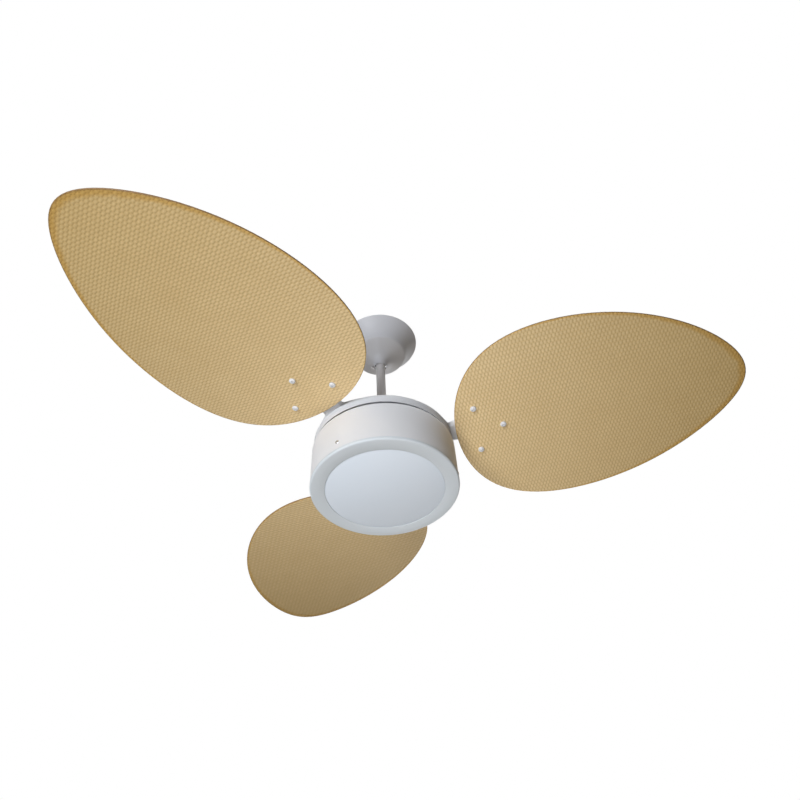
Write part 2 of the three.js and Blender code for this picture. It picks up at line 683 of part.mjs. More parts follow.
// A potted case with rounded corners and an ear at each end.
function pottedCase(length, width, height, corner) {
  const [x, y] = [length / 2, width / 2];
  const outline = [[1, 1], [-1, 1], [-1, -1], [1, -1]].flatMap(([right, up], turn) =>
    arc([right * (x - corner), up * (y - corner)], corner, turn * 90, turn * 90 + 90, 2),
  );
  const ears = extrude(slotShape(0, length + 18, 10), 0, 2);
  const holes = [-1, 1].map((side) => bar(1.8, -5, 5, 8).translate(side * (x + 4.5), 0, 0));
  return cut(join(extrude(polygon(outline), 0, height), ears), holes);
}

const BETWEEN_LEGS = FIRST_DRUM_SCREW + Math.PI / 3;
const ledDriver = pottedCase(62, 34, 17, 3).rotateZ(Math.PI / 2).translate(62, 0, PLATE_HIGH + FIT);
add("led_driver", ledDriver, blackPlastic, turned(BETWEEN_LEGS));
const capacitor = pottedCase(46, 26, 17, 8).rotateZ(Math.PI / 2).translate(62, 0, PLATE_HIGH + FIT);
add("run_capacitor", capacitor, blackPlastic, turned(BETWEEN_LEGS + (Math.PI * 4) / 3));

export default fan;
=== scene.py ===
# %% [markdown]
# # A ceiling fan with three woven blades
# The fan hangs from the ceiling on a short rod under a bell-shaped canopy. A fixed drum hides
# the motor and carries a flat round light, and the turning shell above it carries three
# egg-shaped blades on pressed steel arms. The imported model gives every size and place. This
# script keeps it as a fixed frame and builds the finer surfaces that the eye meets round it.
# Sizes are written in millimetres and multiplied by MM, because the frame is in metres.

import json
import math

import bmesh
import bpy
from mathutils import Matrix, Quaternion, Vector
from mathutils.geometry import interpolate_bezier
from mathutils.kdtree import KDTree


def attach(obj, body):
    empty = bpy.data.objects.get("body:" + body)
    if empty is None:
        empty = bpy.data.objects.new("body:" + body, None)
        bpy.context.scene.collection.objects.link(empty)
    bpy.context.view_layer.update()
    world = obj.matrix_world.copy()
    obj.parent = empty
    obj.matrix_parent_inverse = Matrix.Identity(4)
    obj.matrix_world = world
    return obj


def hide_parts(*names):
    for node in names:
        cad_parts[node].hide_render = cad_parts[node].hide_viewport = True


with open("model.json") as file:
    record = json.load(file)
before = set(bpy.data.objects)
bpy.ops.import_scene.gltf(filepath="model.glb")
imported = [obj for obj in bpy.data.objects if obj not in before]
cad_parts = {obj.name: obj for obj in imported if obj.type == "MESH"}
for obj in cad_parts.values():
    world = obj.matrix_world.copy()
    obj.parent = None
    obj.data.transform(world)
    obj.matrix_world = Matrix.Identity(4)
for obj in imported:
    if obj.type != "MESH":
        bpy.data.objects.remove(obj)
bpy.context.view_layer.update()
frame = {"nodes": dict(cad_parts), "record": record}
MM = 0.001
UP = Vector((0, 0, 1))

# %% [markdown]
# ## The camera
# The picture was taken from a standing height, close to the fan and looking steeply up, with
# the head held a little askew. A heading gives the direction of view, and one more turn about
# it gives the lean. The lens is a little wider than a normal one, which is why the near blade
# looks so much larger than the far one. It is shifted by half a pixel of the 800-pixel frame.

# %% Camera
EYE = Vector((0, -0.79155, -1.01664))
YAW, PITCH, LEAN = (math.radians(angle) for angle in (2.321, 47.184, -3.882))
FOCAL_LENGTH = 30.69
HALF_PIXEL = 0.5 / 800
heading = Quaternion(UP, -YAW) @ Quaternion((1, 0, 0), PITCH) @ Vector((0, 1, 0))
camera = bpy.data.objects.new("camera", bpy.data.cameras.new("camera"))
bpy.context.scene.collection.objects.link(camera)
camera.data.lens = FOCAL_LENGTH
camera.data.shift_x, camera.data.shift_y = -HALF_PIXEL, HALF_PIXEL
camera.location = EYE
camera.rotation_mode = "QUATERNION"
camera.rotation_quaternion = heading.to_track_quat("-Z", "Y") @ Quaternion(UP, LEAN)
bpy.context.scene.camera = camera
print("camera looks along", [round(part, 3) for part in heading])

# %% [markdown]
# ## Node helpers
# Every finish below is a small graph of nodes, and a few helpers keep such a graph readable:
# one feeds an input, one adds a node and feeds its inputs, and one does the same for a Math
# node. An input may be a plain number, a colour or another node's output. Colours are given
# from 0 to 255, as on a paint chart, and turned into the linear light that Blender uses.


# %% Helpers for material graphs
def feed(tree, socket, value):
    if isinstance(value, bpy.types.NodeSocket):
        tree.links.new(value, socket)
    else:
        socket.default_value = value


def node(tree, kind, inputs=(), **settings):
    made = tree.nodes.new("ShaderNode" + kind)
    for setting, value in settings.items():
        setattr(made, setting, value)
    for socket, value in dict(inputs).items():
        feed(tree, made.inputs[socket], value)
    return made


def maths(tree, operation, *terms):
    made = node(tree, "Math", operation=operation)
    for socket, term in zip(made.inputs, terms):
        feed(tree, socket, term)
    return made.outputs[0]


def shader_of(skin):
    return skin.node_tree.nodes["Principled BSDF"]


def shade(red, green, blue):
    """A colour from 0 to 255, turned into linear light, with full opacity."""
    linear = [
        part / 255 / 12.92 if part < 11 else ((part / 255 + 0.055) / 1.055) ** 2.4
        for part in (red, green, blue)
    ]
    return (*linear, 1)


print("node helpers ready")

# %% [markdown]
# ## Room, floor and lamps
# The object hangs in a plain white studio. What the camera and mirror-like surfaces see of
# the world is full white, and what lights the object is a dimmer grey, so the background
# stays white without washing out the white paint. The floor is pale to the camera alone, in
# the same way, and keeps the object's faint shadow. The key lamp is large, low and on the left,
# so that the near blade shades the canopy, as it does in the picture. A weak one below lifts
# the undersides, and a soft one overhead lights the fan's top. The last one stands behind, so
# that the far side isn't left in the dark.

# %% World
AMBIENT = 0.04
scene = bpy.context.scene
scene.view_settings.view_transform = "Standard"
scene.world = bpy.data.worlds.new("room")
scene.world.use_nodes = True
room = scene.world.node_tree
rays = node(room, "LightPath").outputs
seen = maths(room, "MAXIMUM", rays["Is Camera Ray"], rays["Is Glossy Ray"])
seen = maths(room, "MAXIMUM", seen, rays["Is Transmission Ray"])
backdrop = room.nodes["Background"]
backdrop.inputs["Color"].default_value = (1, 1, 1, 1)
feed(room, backdrop.inputs["Strength"], maths(room, "MULTIPLY_ADD", seen, 1 - AMBIENT, AMBIENT))
print("world: white to the camera, ambient light", AMBIENT)

# %% Floor
FLOOR_LEVEL = -2.6
FLOOR_SIZE = 7
FLOOR_GLOW = 0.74
floor_paint = bpy.data.materials.new("floor_paint")
floor_paint.use_nodes = True
floor_shader = shader_of(floor_paint)
floor_shader.inputs["Base Color"].default_value = shade(175, 174, 172)
floor_shader.inputs["Roughness"].default_value = 0.8
floor_shader.inputs["Emission Color"].default_value = (1, 1, 1, 1)
floor_rays = node(floor_paint.node_tree, "LightPath").outputs["Is Camera Ray"]
glow = maths(floor_paint.node_tree, "MULTIPLY", floor_rays, FLOOR_GLOW)
feed(floor_paint.node_tree, floor_shader.inputs["Emission Strength"], glow)
bm = bmesh.new()
bmesh.ops.create_grid(bm, x_segments=1, y_segments=1, size=FLOOR_SIZE)
bmesh.ops.translate(bm, verts=bm.verts, vec=(0, 0, FLOOR_LEVEL))
floor_mesh = bpy.data.meshes.new("floor")
bm.to_mesh(floor_mesh)
bm.free()
floor_mesh.materials.append(floor_paint)
floor = bpy.data.objects.new("floor", floor_mesh)
scene.collection.objects.link(floor)
print("floor at", FLOOR_LEVEL, "m")

# %% Lamps
FAN_MIDDLE = (0, 0, -0.25)


def lamp(name, place, target, width, watts, colour):
    data = bpy.data.lights.new(name, "AREA")
    data.shape, data.size = "DISK", width
    data.energy, data.color = watts, colour
    made = bpy.data.objects.new(name, data)
    made.location = place
    made.rotation_mode = "QUATERNION"
    made.rotation_quaternion = (Vector(target) - Vector(place)).to_track_quat("-Z", "Y")
    made.visible_camera = False
    scene.collection.objects.link(made)


lamp("key_light", (-1, -1.73, -0.9), FAN_MIDDLE, 0.7, 33, (0.95, 0.975, 1))
lamp("low_light", (0, 0, -1.35), FAN_MIDDLE, 0.6, 4.6, (1, 0.968, 0.915))
lamp("overhead_light", (0.3, 0, 1.52), FAN_MIDDLE, 1.5, 18, (1, 1, 1))
lamp("far_side_light", (0.5, 2, -0.14), (0, 0, -0.2), 1.2, 9, (0.97, 0.98, 1))

# %% [markdown]
# ## Painted and moulded finishes
# The sheet metal is powder coated. Powder coat melts into a skin that is smooth but never
# flat: it has a faint orange peel about a millimetre wide, and its gloss wanders a little. A
# noise on Object coordinates drives both, since these pieces carry no printed pattern that
# would have to follow the surface. The light's ring and lens are moulded, so they are
# calmer than the paint, and the lens is matt. The canopy's paint is a darker and cooler copy
# of the white paint: painted shade, for the near blade's shadow and the bluish light under the
# ceiling. The rod's paint is a lighter, slightly cool copy of it: painted light, which lifts the
# rod out of the same shadow. The frame brings plain materials named after the record's slots,
# so Blender adds a number to a new one of the same name. Each finish is therefore filed under
# the slot it stands for, and is never looked up by Blender's name for it.

# %% Helpers for finishes
finishes = {}


def finish(name, colour, roughness, metallic=0.0, slot=None):
    """A plain finish. It stands for the record's slot of its own name, unless it is given one."""
    made = bpy.data.materials.new(name)
    finishes.setdefault(slot or name, made)
    made.use_nodes = True
    shader = shader_of(made)
    shader.inputs["Base Color"].default_value = colour
    shader.inputs["Roughness"].default_value = roughness
    shader.inputs["Metallic"].default_value = metallic
    return made


def noise(tree, size, detail=2.0, stretch=(1, 1, 1)):
    """A noise whose blobs are about size metres wide, stretched along an axis by a divisor."""
    place = node(tree, "TexCoord").outputs["Object"]
    mapped = node(tree, "Mapping", {"Vector": place, "Scale": stretch})
    inputs = {"Vector": mapped.outputs[0], "Scale": 1 / size, "Detail": detail}
    return node(tree, "TexNoise", inputs).outputs["Fac"]


def spread(tree, factor, low, high, start=0.0, end=1.0):
    """Maps a factor that runs from start to end onto the range from low to high."""
    inputs = {"Value": factor, "From Min": start, "From Max": end, "To Min": low, "To Max": high}
    return node(tree, "MapRange", inputs).outputs[0]


def tint(tree, factor, first, second):
    """Mixes two colours. A Mix node has sockets for each type of value; these are the colour's."""
    return node(tree, "Mix", {0: factor, 6: first, 7: second}, data_type="RGBA").outputs[2]


def times(tree, colour, factor):
    """Multiplies a colour by a number or, channel by channel, by another colour."""
    return node(tree, "VectorMath", {0: colour, 1: factor}, operation="MULTIPLY").outputs[0]


def grain(made, first, second, patch, peel, height, roughness, stretch=(1, 1, 1)):
    """Lets a finish wander: its colour over patches, its gloss and its relief over a fine peel.

    The patches, the peel and the peel's height are in millimetres.
    """
    tree, shader = made.node_tree, shader_of(made)
    feed(tree, shader.inputs["Base Color"], tint(tree, noise(tree, patch * MM), first, second))
    fine = noise(tree, peel * MM, 3.0, stretch)
    feed(tree, shader.inputs["Roughness"], spread(tree, fine, *roughness))
    relief = node(tree, "Bump", {"Height": fine, "Distance": height * MM, "Strength": 0.6})
    feed(tree, shader.inputs["Normal"], relief.outputs[0])


print("finish helpers ready")

# %% Paint, plastic and lens
POWDER_COAT = {"patch": 60, "peel": 1.1, "height": 0.05, "roughness": (0.34, 0.46)}
white_paint = finish("white_paint", shade(229, 230, 234), 0.4)
grain(white_paint, shade(226, 227, 232), shade(232, 233, 236), **POWDER_COAT)
# The rod's paint: painted light, a lighter copy of the white paint that lifts the rod out of the
# blade's shadow.
lit_rod_paint = finish("lit_rod_paint", shade(238, 238, 242), 0.4, slot="grey_paint")
grain(lit_rod_paint, shade(236, 235, 240), shade(240, 240, 244), **POWDER_COAT)
# The canopy's paint: painted shade, a darker and bluer copy of the white paint.
shaded_canopy_paint = finish("shaded_canopy_paint", shade(218, 221, 230), 0.4, slot="white_paint")
grain(shaded_canopy_paint, shade(215, 218, 227), shade(221, 224, 233), **POWDER_COAT)
satin_white = finish("satin_white", shade(216, 223, 230), 0.5)
grain(
    satin_white, shade(213, 221, 229), shade(219, 225, 231),
    patch=50, peel=0.5, height=0.02, roughness=(0.44, 0.55),
)
frosted_lens = finish("frosted_lens", shade(228, 237, 249), 0.6)
grain(
    frosted_lens, shade(226, 236, 249), shade(231, 239, 250),
    patch=80, peel=0.3, height=0.01, roughness=(0.55, 0.65),
)
white_plastic = finish("white_plastic", shade(228, 228, 226), 0.45)
grain(
    white_plastic, shade(224, 224, 222), shade(231, 231, 229),
    patch=20, peel=0.4, height=0.02, roughness=(0.4, 0.5),
)
for paint, gloss in ((white_paint, 0.35), (lit_rod_paint, 0.35), (shaded_canopy_paint, 0.2)):
    shader_of(paint).inputs["Specular IOR Level"].default_value = gloss

# %% [markdown]
# ## Metals, rubber and the hidden finishes
# Bolts and bearings are bright ground steel, the bracket and the drawn cup are zinc plated,
# and the rotor's cage is cast. Plating spangles in patches, a cast skin is coarse, and ground
# steel is streaked. The stator is a stack of thin sheets, which shows as fine level lines,
# and its coils are enamelled copper wire, which shows as close round ribs.

# %% Metals
STREAKED = (1, 1, 8)
zinc_steel = finish("zinc_steel", shade(176, 178, 180), 0.4, 0.9)
grain(
    zinc_steel, shade(164, 167, 170), shade(190, 191, 192),
    patch=5, peel=1.2, height=0.02, roughness=(0.3, 0.5),
)
bright_steel = finish("bright_steel", shade(196, 197, 200), 0.25, 1.0)
grain(
    bright_steel, shade(188, 189, 192), shade(204, 205, 207),
    patch=6, peel=1, height=0.01, roughness=(0.2, 0.34), stretch=STREAKED,
)
cast_alloy = finish("cast_alloy", shade(178, 180, 182), 0.5, 0.9)
grain(
    cast_alloy, shade(166, 168, 170), shade(190, 191, 193),
    patch=4, peel=0.8, height=0.12, roughness=(0.42, 0.6),
)
print("metals:", [m.name for m in (zinc_steel, bright_steel, cast_alloy)])

# %% Rubber and hidden plastics
black_rubber = finish("black_rubber", shade(30, 30, 32), 0.85)
grain(
    black_rubber, shade(26, 26, 28), shade(38, 38, 39),
    patch=4, peel=0.5, height=0.05, roughness=(0.78, 0.9),
)
black_plastic = finish("black_plastic", shade(36, 37, 40), 0.6)
grain(
    black_plastic, shade(32, 33, 36), shade(43, 44, 46),
    patch=9, peel=0.4, height=0.03, roughness=(0.5, 0.68),
)
clear_acrylic = finish("clear_acrylic", shade(236, 240, 243), 0.1)
shader_of(clear_acrylic).inputs["Transmission Weight"].default_value = 0.6
grain(
    clear_acrylic, shade(232, 238, 242), shade(240, 243, 245),
    patch=30, peel=0.8, height=0.01, roughness=(0.08, 0.16),
)
print("plastics:", [m.name for m in (black_rubber, black_plastic, clear_acrylic)])


# %% Sheets and windings of the stator
def ribbed(made, colours, pitch, height, axis):
    """Close ribs across an axis, in colour and relief, with pitch and height in millimetres."""
    tree, shader = made.node_tree, shader_of(made)
    place = node(tree, "TexCoord").outputs["Object"]
    along = node(tree, "SeparateXYZ", {"Vector": place}).outputs[axis]
    wave = maths(tree, "SINE", maths(tree, "MULTIPLY", along, math.tau / (pitch * MM)))
    rib = spread(tree, wave, 0, 1, -1, 1)
    feed(tree, shader.inputs["Base Color"], tint(tree, rib, *colours))
    relief = node(tree, "Bump", {"Height": rib, "Distance": height * MM})
    feed(tree, shader.inputs["Normal"], relief.outputs[0])


ribbed(
    finish("core_steel", shade(110, 112, 116), 0.5, 0.8),
    (shade(84, 86, 90), shade(128, 130, 134)), 1, 0.05, "Z",
)
# On the windings, the dark troughs between the wires are painted shade, and the light crowns are a
# painted highlight.
ribbed(
    finish("enamel_wire", shade(164, 85, 42), 0.3, 0.7),
    (shade(104, 46, 20), shade(186, 104, 54)), 0.8, 0.2, "Z",
)

# %% [markdown]
# ## Woven cane
# The blades are faced with a plain weave of flat cane strips: each strip passes over one
# strand and under the next, and its neighbour does the reverse, so the raised parts stand
# like bricks in a wall. The strands push the strips up in rows as well. So the surface is the
# sum of two waves: a chequer, which is a product of two cosines, and a ridge over each strand.
# The relief is real geometry, made further down, and the colour has to fall exactly on it, so
# both take the same two numbers, which the blade's UV map holds: the distance along the weave
# and across it, counted in strips and strands. The colour is darker in the gaps and lighter on
# the crowns, partly the cane's own tone and partly painted shade in the gaps and painted light
# on the crowns. Towards the rim the varnish lies thicker, so the cane turns golden, and brown at
# the very edge. The band is widest at the tip. A rim attribute, 0 on the outline and 1 where
# the band ends, says how far in a point is. The cane is also lighter near the roots and darker
# and yellower towards the tips, which the same UV map tells apart from the roots.

# %% The weave's pattern
STRIP, STRAND = 2.73, 7.1
CHEQUER, RIDGE = 0.16, 0.055
CANE_MIDDLE = shade(217, 190, 142)


def woven(tree, across, along):
    """1 on the crown of a raised strip, 0 in the gap beside it."""
    waves = [maths(tree, "COSINE", maths(tree, "MULTIPLY", part, math.pi)) for part in (across, along)]
    ridge = maths(tree, "COSINE", maths(tree, "MULTIPLY", along, math.tau))
    chequer = maths(tree, "MULTIPLY", maths(tree, "MULTIPLY", *waves), CHEQUER)
    height = maths(tree, "MULTIPLY_ADD", ridge, RIDGE, chequer)
    top = CHEQUER + RIDGE
    return spread(tree, height, 0, 1, -top, top)


woven_cane = finish("woven_cane", CANE_MIDDLE, 0.6)
tree, shader = woven_cane.node_tree, shader_of(woven_cane)
strands = node(tree, "UVMap", uv_map="strands").outputs["UV"]
across, along = node(tree, "SeparateXYZ", {"Vector": strands}).outputs[:2]
crown = woven(tree, across, along)
print("weave: strips of", STRIP, "mm over strands", STRAND, "mm apart")

# %% Cane colours
# Darker in the gaps and lighter on the crowns: partly the cane's own tone, partly painted shade in the
# gaps and painted light on the crowns.
CANE_AND_GAP_SHADE, DARK_AT = shade(156, 124, 78), 0.06
CANE_AND_CROWN_LIGHT, LIGHT_AT = shade(230, 206, 162), 0.95
MIDDLE_AT = 0.38
CANE_AGED, MOST_AGED = shade(190, 156, 100), 0.3
DARK_FIBRE, LIGHT_FIBRE = 0.8, 1.18
STRIPS_TO_TIP = 82
# Lighter near the roots, darker and yellower towards the tips.
ROOT_TINT, TIP_TINT = (1.22, 1.24, 1.28, 1), (0.93, 0.885, 0.73, 1)
ramp = node(tree, "ValToRGB", {"Fac": crown})
dark, light = ramp.color_ramp.elements
dark.color, dark.position = CANE_AND_GAP_SHADE, DARK_AT
light.color, light.position = CANE_AND_CROWN_LIGHT, LIGHT_AT
ramp.color_ramp.elements.new(MIDDLE_AT).color = CANE_MIDDLE
patches = spread(tree, noise(tree, 45 * MM), 0, MOST_AGED)
aged = tint(tree, patches, ramp.outputs["Color"], CANE_AGED)
streaks = noise(tree, 2.2 * MM, 4.0)
fibrous = times(tree, aged, spread(tree, streaks, DARK_FIBRE, LIGHT_FIBRE))
to_tip = spread(tree, across, 0, 1, -STRIPS_TO_TIP, STRIPS_TO_TIP)
root_to_tip_toned = times(tree, fibrous, tint(tree, to_tip, ROOT_TINT, TIP_TINT))
print("cane: darkens over", 2 * STRIPS_TO_TIP, "strips, from root to tip")

# %% Varnished rim
CLEAR, GOLDEN = (1, 1, 1, 1), (0.9, 0.78, 0.49, 1)
CANE_BROWN = shade(112, 82, 44)
WANDER, NARROWEST = 0.7, 0.6
GOLD_STARTS, GOLD_FULL = 1.2, 0.6
BROWN_STARTS, BROWN_FULL, MOST_BROWN = 0.22, 0.05, 0.8
GAP_ROUGHNESS, CROWN_ROUGHNESS = 0.72, 0.55
rim = node(tree, "Attribute", attribute_name="rim").outputs["Fac"]
width = maths(tree, "MULTIPLY_ADD", noise(tree, 14 * MM), WANDER, NARROWEST)
band = spread(tree, maths(tree, "DIVIDE", rim, width), 0, 1, GOLD_STARTS, GOLD_FULL)
varnished = times(tree, root_to_tip_toned, tint(tree, band, CLEAR, GOLDEN))
edge = spread(tree, rim, 0, MOST_BROWN, BROWN_STARTS, BROWN_FULL)
feed(tree, shader.inputs["Base Color"], tint(tree, edge, varnished, CANE_BROWN))
feed(tree, shader.inputs["Roughness"], spread(tree, crown, GAP_ROUGHNESS, CROWN_ROUGHNESS))
thread = node(tree, "Bump", {"Height": streaks, "Distance": 0.08 * MM, "Strength": 0.5})
feed(tree, shader.inputs["Normal"], thread.outputs[0])
cane_edge = finish("cane_edge", CANE_BROWN, 0.5, slot="woven_cane")
grain(
    cane_edge, CANE_BROWN, shade(150, 112, 62),
    patch=12, peel=1.5, height=0.08, roughness=(0.4, 0.55),
)
print("varnish: golden rim, brown edge on", [m.name for m in (woven_cane, cane_edge)])

# %% [markdown]
# ## From a bmesh to a piece
# Each piece is shaped in a bmesh, with its place in its vertices, and then becomes an object
# that sits at the origin and rides on the frame's body. Bevelled edges are what makes sheet
# metal look like metal, because a real corner always catches some light, so one helper rounds
# every edge sharper than a given angle.


# %% Helpers for pieces
def soften(bm, radius, angle=30, rounds=2):
    """Rounds every edge sharper than the angle, in degrees, by a radius in millimetres."""
    sharp = [e for e in bm.edges if e.is_manifold and e.calc_face_angle(0) > math.radians(angle)]
    bmesh.ops.bevel(
        bm, geom=sharp, offset=radius * MM, segments=rounds, profile=0.5,
        affect="EDGES", material=-1, clamp_overlap=True,
    )


def tidy(bm):
    bmesh.ops.remove_doubles(bm, verts=bm.verts, dist=0.001 * MM)
    bmesh.ops.dissolve_degenerate(bm, edges=bm.edges, dist=0.0005 * MM)
    bmesh.ops.recalc_face_normals(bm, faces=bm.faces)
    return bm


def piece(name, bm, skin, body, *nodes, crease=32):
    """Makes a bmesh an object that rides on the body and stands for the frame's nodes."""
    mesh = bpy.data.meshes.new(name)
    bm.to_mesh(mesh)
    bm.free()
    mesh.materials.append(skin)
    mesh.shade_smooth()
    mesh.set_sharp_from_angle(angle=math.radians(crease))
    made = bpy.data.objects.new(name, mesh)
    scene.collection.objects.link(made)
    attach(made, body)
    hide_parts(*nodes)
    print(f"{name}: {len(mesh.polygons)} faces on {body}")


print("piece helpers ready")

# %% [markdown]
# ## Turned shells
# The canopy, the drum, the rod and the light are all round, so each is one outline spun once
# about the fan's axis. The outline is drawn closed, with the wall's thickness in it, which
# leaves no question about which side the wall grows to. The large shells take 96 steps or
# more, so that their rims look round from close by.

# %% Spin helpers
TURNS = 96


def spun(outline, steps=TURNS):
    """Spins a closed outline of [radius, height] in millimetres about the fan's axis."""
    bm = bmesh.new()
    corners = [bm.verts.new((radius * MM, 0, height * MM)) for radius, height in outline]
    runs = [
        bm.edges.new((a, b))
        for a, b in zip(corners, corners[1:] + corners[:1])
        if a.co.x > 0 or b.co.x > 0
    ]
    bmesh.ops.spin(
        bm, geom=corners + runs, axis=UP, cent=(0, 0, 0), angle=math.tau, steps=steps, use_merge=True
    )
    return tidy(bm)


def walled(path, wall):
    """The closed outline of a bent sheet: its outer path, and the path moved in by the wall."""
    points = [Vector(point) for point in path]
    inner = []
    for i, point in enumerate(points):
        before = (point - points[i - 1]).normalized() if i else None
        after = (points[i + 1] - point).normalized() if i + 1 < len(points) else before
        before = before or after
        across = (before + after).normalized().orthogonal()
        inner.append(point + across * wall / across.dot(before.orthogonal()))
    return [tuple(point) for point in points + inner[::-1]]


def curve(start, first, second, end, points):
    """Points of a Bezier curve between two ends, bent by two handles."""
    found = interpolate_bezier(*(Vector((*p, 0)) for p in (start, first, second, end)), points)
    return [(p.x, p.y) for p in found]


def corner(centre, radius, start, end, points=5):
    """Points of a round corner, with the angles in degrees."""
    angles = [math.radians(start + (end - start) * i / (points - 1)) for i in range(points)]
    return [(centre[0] + radius * math.cos(a), centre[1] + radius * math.sin(a)) for a in angles]


print("shells are spun in", TURNS, "steps")

# %% [markdown]
# ## Holes, slots and hexagons
# A hole is cut into a finished shell with a Boolean, as a punch or a drill would cut it. The
# tools are prisms: a round-ended slot is a circle whose two halves are moved apart, and a
# hexagon is a circle of six. Several tools are merged into one before the cut, since each cut
# costs time. A nut's chamfer comes from the common part of a hexagon and a turned cone.

# %% Tools for cutting
def thickened(bm, height):
    """Extrudes the faces of a flat bmesh upwards by a height in millimetres."""
    grown = bmesh.ops.extrude_face_region(bm, geom=bm.faces[:])["geom"]
    top = [part for part in grown if isinstance(part, bmesh.types.BMVert)]
    bmesh.ops.translate(bm, verts=top, vec=(0, 0, height * MM))
    return tidy(bm)


def prism(sides, radius, low, high, reach=0.0):
    """A prism along Z; reach moves its two halves apart along X into a round-ended slot."""
    bm = bmesh.new()
    bmesh.ops.create_circle(bm, cap_ends=True, radius=radius * MM, segments=sides)
    for vert in bm.verts:
        vert.co.x += math.copysign(reach * MM, vert.co.x) if reach else 0
        vert.co.z = low * MM
    return thickened(bm, high - low)


def block(width, depth, height, centre):
    bm = bmesh.new()
    bmesh.ops.create_cube(bm, size=MM)
    bmesh.ops.scale(bm, verts=bm.verts, vec=(width, depth, height))
    bmesh.ops.translate(bm, verts=bm.verts, vec=Vector(centre) * MM)
    return bm


def moved(bm, matrix):
    bmesh.ops.transform(bm, matrix=matrix, verts=bm.verts)
    return bm


def copied(bm, matrix):
    return moved(bm.copy(), matrix)


def turn(degrees, axis="Z"):
    return Matrix.Rotation(math.radians(degrees), 4, axis)


def shift(x, y, z):
    return Matrix.Translation((x * MM, y * MM, z * MM))


def merged(*parts):
    whole = bmesh.new()
    for part in parts:
        mesh = bpy.data.meshes.new("part")
        part.to_mesh(mesh)
        part.free()
        whole.from_mesh(mesh)
        bpy.data.meshes.remove(mesh)
    return whole


def carved(body, cutter, operation="DIFFERENCE"):
    """Cuts, joins or intersects two bmeshes with the Boolean modifier and gives the result."""
    objects = []
    for name, part in (("body_in_work", body), ("cutter", cutter)):
        mesh = bpy.data.meshes.new(name)
        part.to_mesh(mesh)
        part.free()
        objects.append(bpy.data.objects.new(name, mesh))
        scene.collection.objects.link(objects[-1])
    work, tool = objects
    cut = work.modifiers.new("cut", "BOOLEAN")
    cut.operation, cut.solver, cut.object, cut.use_self = operation, "EXACT", tool, True
    rest = bmesh.new()
    rest.from_object(work, bpy.context.evaluated_depsgraph_get())
    for used in objects:
        mesh = used.data
        bpy.data.objects.remove(used)
        bpy.data.meshes.remove(mesh)
    return tidy(rest)


def hexagon(radius, low, high):
    """A nut's body: a hexagon whose corners are turned off at both ends."""
    flat_r, widest_r, chamfer = 0.9 * radius, 1.02 * radius, 0.11 * radius
    cone = [
        (0, low), (flat_r, low), (widest_r, low + chamfer),
        (widest_r, high - chamfer), (flat_r, high), (0, high),
    ]
    return carved(prism(6, radius, low, high), spun(cone, 36), "INTERSECT")


def threaded(radius, low, high, pitch=0.9, depth=0.3):
    """A closed outline of a bolt's shank with its thread as close rings."""
    rings = []
    for turns in range(int((high - low) / pitch)):
        rings += [(radius - depth, low + pitch * turns), (radius, low + pitch * (turns + 0.5))]
    return [(0, low), *rings, (radius, high), (0, high)]


print("cutting tools ready")

# %% [markdown]
# ## Canopy
# The canopy is spun from one disc of steel: a skirt that flares up to the ceiling, a crease
# at the shoulder, and a trumpet that closes round the rod. The crease throws the clear line
# across the bell that the photograph shows. A screw through the trumpet's wall grips the rod,
# and a tapered rubber ring inside keeps the paint off it.

# %% Canopy
CANOPY_R, CANOPY_RIM = 67.7, -4
SHOULDER_R, SHOULDER = 44.6, -39
NECK_R, CANOPY_BASE = 9.8, -71
CANOPY_WALL = 1.2
SET_SCREW_TURN, SET_SCREW_LEVEL = 145, -59.5
flare = [(CANOPY_R, CANOPY_RIM), (CANOPY_R - 15, CANOPY_RIM - 14), (SHOULDER_R, SHOULDER)]
handles = [
    tuple(end + (middle - end) * 2 / 3 for end, middle in zip(side, flare[1]))
    for side in (flare[0], flare[2])
]
skirt = curve(flare[0], *handles, flare[2], 14)
funnel = curve(
    (SHOULDER_R - 0.4, SHOULDER - 0.6), (SHOULDER_R - 14.6, SHOULDER - 8),
    (NECK_R + 0.7, CANOPY_BASE + 19), (NECK_R, CANOPY_BASE), 20,
)
bm = spun(walled(skirt + funnel, CANOPY_WALL))
soften(bm, 0.4, 40)
SET_SCREW = turn(SET_SCREW_TURN) @ shift(0, 0, SET_SCREW_LEVEL) @ turn(90, "Y")
bm = carved(bm, moved(prism(32, 2, 8, 22), SET_SCREW))
piece("bell_canopy", bm, shaded_canopy_paint, "canopy", "canopy")

# %% Set screw and rubber ring
ROD_R, ROD_WALL, FIT = 8, 1.5, 0.3
RING_BASE, RING_SHOULDER, RING_TOP = -67, -63.4, -62.5
shank = threaded(1.6, ROD_R + FIT, 16.3)[:-2]
head = [(1.6, 16.2), (2.7, 16.2), (2.7, 17.8), (2.2, 18.5), (0, 18.5)]
bm = spun([*shank, *head], 32)
bm = carved(bm, block(6, 0.7, 1.6, (0, 0, 18.6)))
piece("slotted_set_screw", moved(bm, SET_SCREW), bright_steel, "canopy", "canopy_set_screw")
ring = [
    (ROD_R + FIT, RING_BASE), (8.7, RING_BASE), (9.9, RING_SHOULDER), (9.9, RING_TOP),
    (ROD_R + FIT, RING_TOP),
]
bm = spun(ring, 64)
soften(bm, 0.15, 30)
piece("rubber_ring", bm, black_rubber, "canopy", "canopy_grommet")

# %% [markdown]
# ## Rod and coupling
# The rod is a steel tube. A sleeve on its lower end joins it to the motor's shaft, with a bolt
# straight through both.

